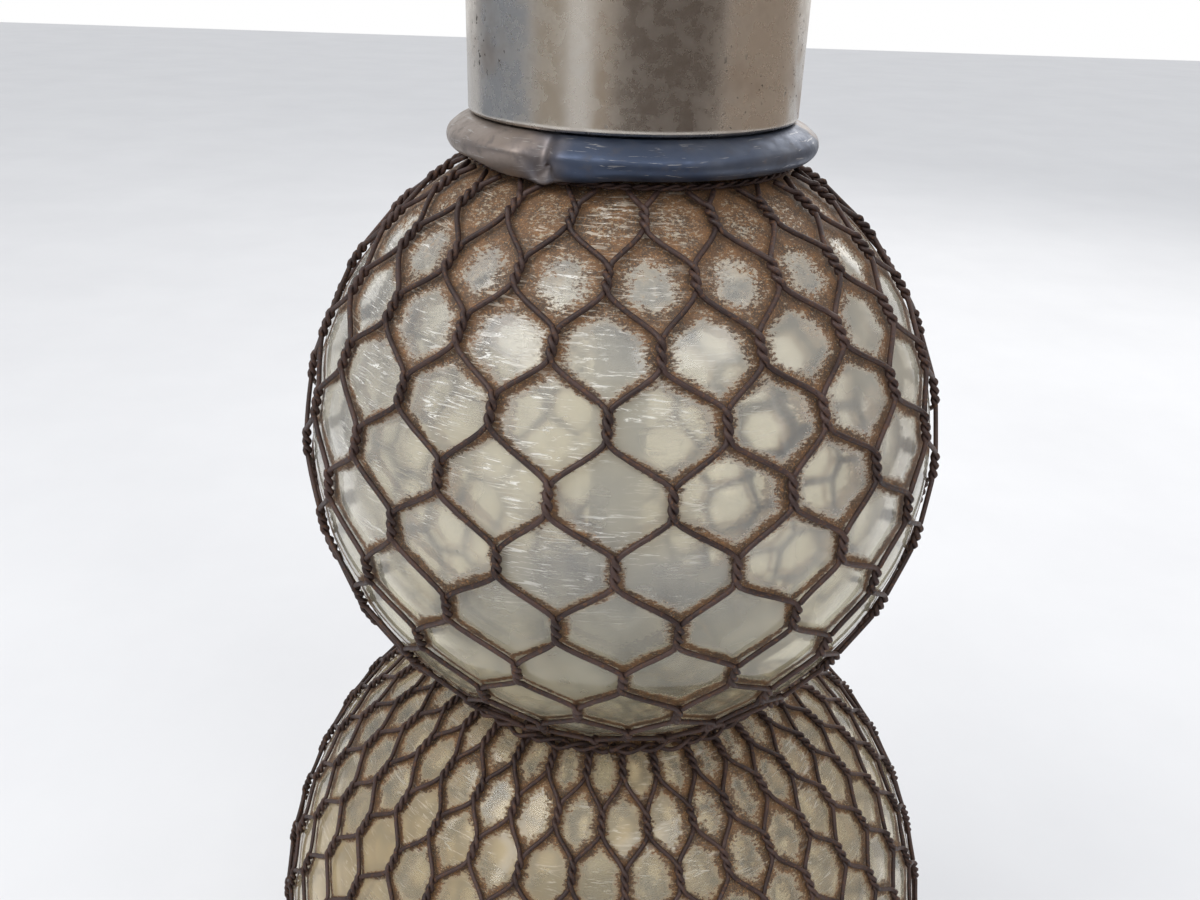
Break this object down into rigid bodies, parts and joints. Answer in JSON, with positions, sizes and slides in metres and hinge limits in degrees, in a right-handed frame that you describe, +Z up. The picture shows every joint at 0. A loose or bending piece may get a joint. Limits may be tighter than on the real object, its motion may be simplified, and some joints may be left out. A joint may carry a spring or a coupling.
{
  "type": "soda siphon",
  "caption": "Soda siphon of two stacked glass globes in hexagonal wire netting on a round foot, with a screw-on metal head, sprung lever valve and swan-neck spout.",
  "frame": {"origin": "centre of the foot on the surface it stands on", "axes": "+Z up along the axis of both globes, +X towards the spout, -X towards the lever"},
  "size_m": [0.1632, 0.163, 0.3974],
  "materials": {
    "pewter": "dull grey pewter, oxidised",
    "plaster": "matt plaster cement",
    "vessel_glass": "thick blown glass, clear to milky grey, with rust stains",
    "netting_wire": "rusted iron wire",
    "rubber": "matt black rubber",
    "nickel": "worn nickel plate, satin with pits",
    "steel": "turned steel",
    "brass": "turned brass, tarnished",
    "leather": "greased leather",
    "spring_brass": "drawn brass wire",
    "tube_glass": "clear drawn glass tube",
    "tin": "matt tin"
  },
  "bodies": {
    "vessel": {"foot": "pewter", "plaster_bed": "plaster", "glass_vessel": "vessel_glass", "lower_netting": "netting_wire", "upper_netting": "netting_wire", "waist_binding_wire": "netting_wire", "foot_hoop_wire": "netting_wire", "neck_hoop_wire": "netting_wire", "neck_cement": "plaster", "neck_collar": "pewter"},
    "neck_seal": {"neck_gasket": "rubber"},
    "head": {"head_cap": "nickel", "head_body": "nickel", "spout": "nickel", "spout_nozzle": "pewter", "top_cap": "nickel", "lever_pin": "steel", "tube_nut": "brass", "tube_washer": "rubber", "dip_tube": "tube_glass", "gas_tube": "tin", "waist_plug": "tin", "waist_plug_ring": "rubber"},
    "lever": {"lever": "nickel"},
    "piston": {"piston": "brass", "piston_disc": "rubber", "piston_packing": "leather", "valve_spring": "spring_brass"}
  },
  "joints": [
    {"name": "head_lift", "type": "slide", "parent": "vessel", "child": "neck_seal", "axis": [0, 0, 1], "range_m": [0, 0.29]},
    {"name": "head_turn", "type": "hinge", "parent": "neck_seal", "child": "head", "pos_m": [0, 0, 0.3074], "axis": [0, 0, 1], "continuous": true},
    {"name": "lever_press", "type": "hinge", "parent": "head", "child": "lever", "pos_m": [-0.018, 0, 0.3634], "axis": [0, -1, 0], "range_deg": [0, 13], "stiffness_Nm_per_rad": 0.5, "springref_deg": -11.46},
    {"name": "piston_lift", "type": "slide", "parent": "head", "child": "piston", "axis": [0, 0, 1], "range_m": [0, 0.003], "deforming": ["valve_spring"]}
  ],
  "couplings": [
    {"joint": "piston_lift", "follows": "lever_press", "m_per_rad": 0.013}
  ]
}
